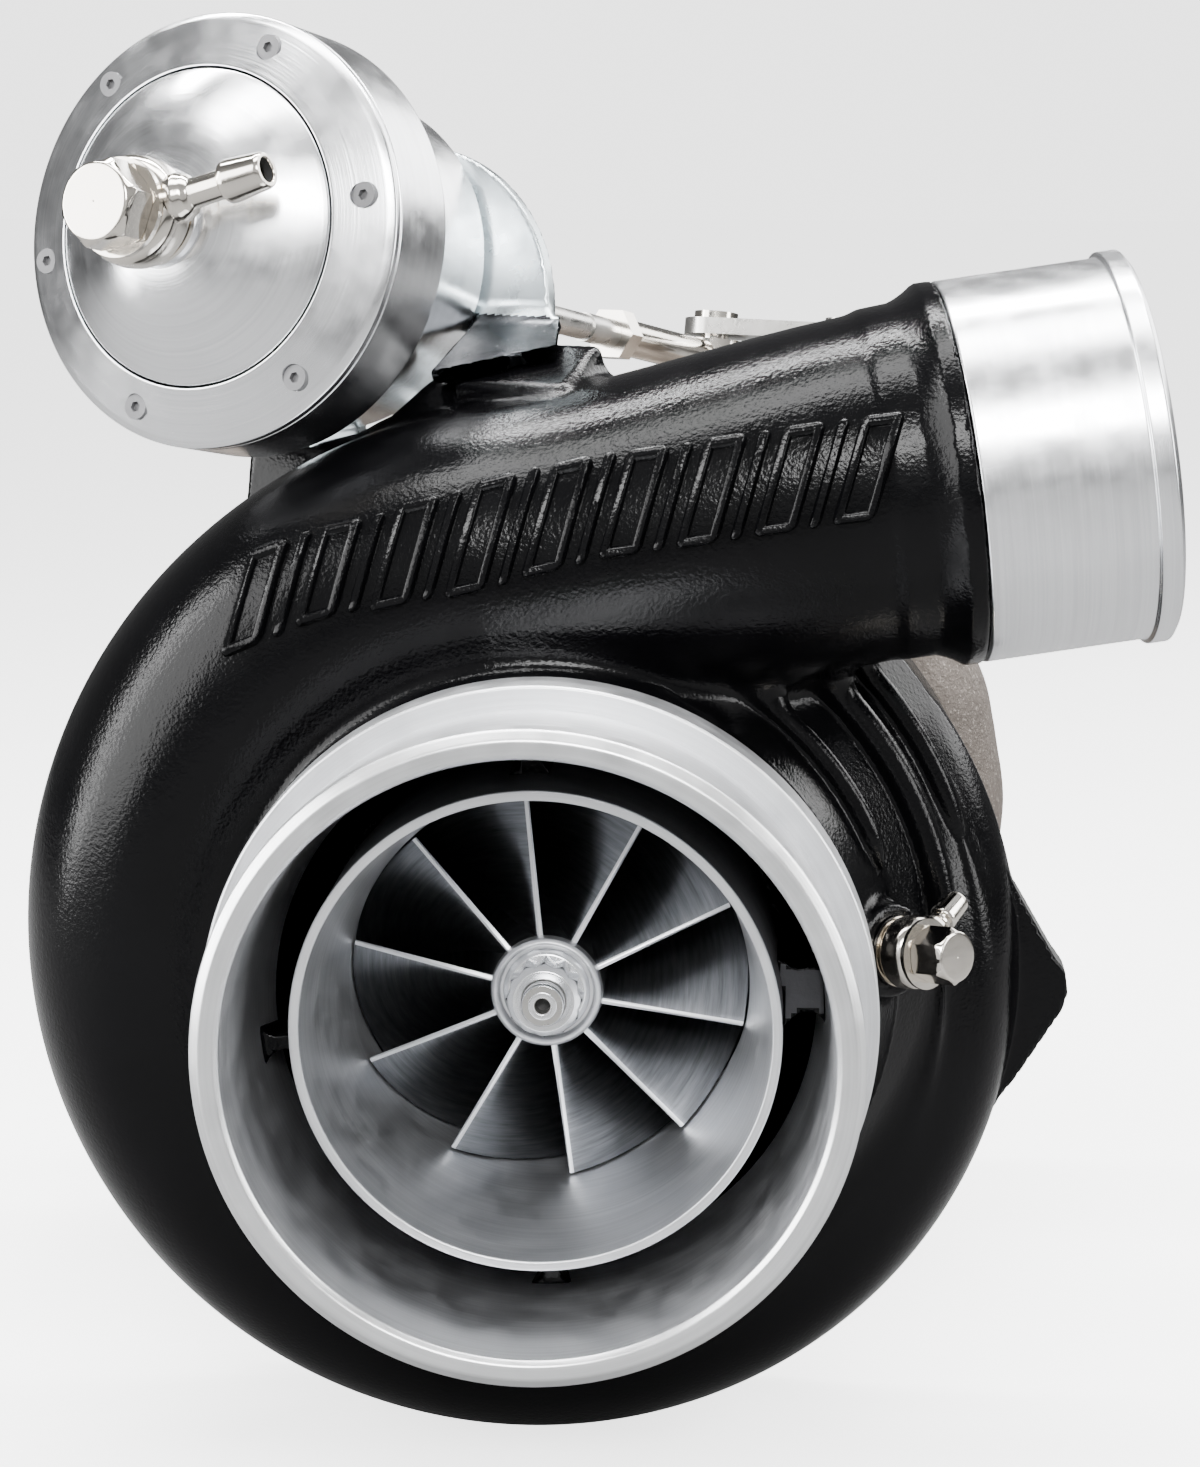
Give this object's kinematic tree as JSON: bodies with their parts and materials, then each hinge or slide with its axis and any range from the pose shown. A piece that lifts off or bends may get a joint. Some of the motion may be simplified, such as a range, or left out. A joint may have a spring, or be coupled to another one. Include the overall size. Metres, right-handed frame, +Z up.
{
  "type": "turbocharger",
  "caption": "Turbocharger with a ported compressor inlet, tangential outlet, flanged turbine housing, internal wastegate and a pneumatic actuator with pushrod.",
  "frame": {"origin": "centre of the turbine inlet flange's face", "axes": "+Z up, away from the turbine inlet flange; +Y along the shaft from the compressor to the turbine outlet; +X towards the compressor outlet"},
  "size_m": [0.2009, 0.242, 0.2457],
  "materials": {
    "black_coat": "gloss black powder coat",
    "machined": "turned aluminium",
    "billet": "milled aluminium",
    "steel": "machined steel",
    "nickel": "nickel plate",
    "zinc": "zinc plate",
    "cast_iron": "as cast",
    "bronze": "bearing bronze",
    "rubber": "moulded rubber",
    "dark_steel": "black oxide"
  },
  "bodies": {
    "root": {"compressor_cover": "black_coat", "backplate": "machined", "cover_seal_ring": "rubber", "cover_clamp_plates": "zinc", "cover_bolts": "zinc", "backplate_bolts": "dark_steel", "bearing_housing": "cast_iron", "thrust_bearing": "bronze", "journal_bearing": "bronze", "bearing_pin": "steel", "compressor_seal_ring": "steel", "turbine_seal_ring": "steel", "heat_shield": "cast_iron", "turbine_housing": "cast_iron", "turbine_clamp_plates": "steel", "turbine_bolts": "steel", "wastegate_bush": "cast_iron", "diaphragm": "rubber", "actuator_spring": "steel", "actuator_body": "machined", "rod_bush": "bronze", "actuator_clamp_ring": "machined", "actuator_dome": "machined", "actuator_screws": "dark_steel", "actuator_banjo": "nickel", "actuator_banjo_bolt": "nickel", "actuator_banjo_washers": "nickel", "actuator_bracket": "zinc", "actuator_studs": "zinc", "actuator_nuts": "zinc", "bracket_bolts": "zinc", "boost_banjo": "nickel", "boost_banjo_bolt": "nickel", "boost_banjo_washers": "nickel"},
    "rotor": {"compressor_wheel": "billet", "compressor_nut": "steel", "turbine_shaft": "dark_steel", "thrust_collar": "steel"},
    "rod": {"actuator_rod": "steel", "rod_nut": "steel", "rod_end": "steel", "rod_lock_nut": "nickel", "actuator_piston": "machined"},
    "gate": {"wastegate_arm": "cast_iron", "wastegate_valve": "cast_iron", "valve_washer": "steel", "wastegate_lever": "steel", "lever_pin": "steel", "pin_clip": "zinc"}
  },
  "joints": [
    {"name": "rotor_spin", "type": "hinge", "parent": "root", "child": "rotor", "pos_m": [0.03, -0.06, 0.086], "axis": [0, 1, 0], "continuous": true},
    {"name": "rod_slide", "type": "slide", "parent": "root", "child": "rod", "axis": [0.42, 0.8901, -0.1771], "range_m": [0, 0.01], "stiffness_N_per_m": 9000, "springref_m": -0.004, "deforming": ["actuator_spring", "diaphragm"]},
    {"name": "gate_hinge", "type": "hinge", "parent": "root", "child": "gate", "pos_m": [0.07937, 0.04353, 0.17542], "axis": [0.0756, 0.1602, 0.9842], "range_deg": [-21.2, 0.6]}
  ],
  "couplings": [
    {"joint": "gate_hinge", "follows": "rod_slide", "rad_per_m": -35.907}
  ]
}
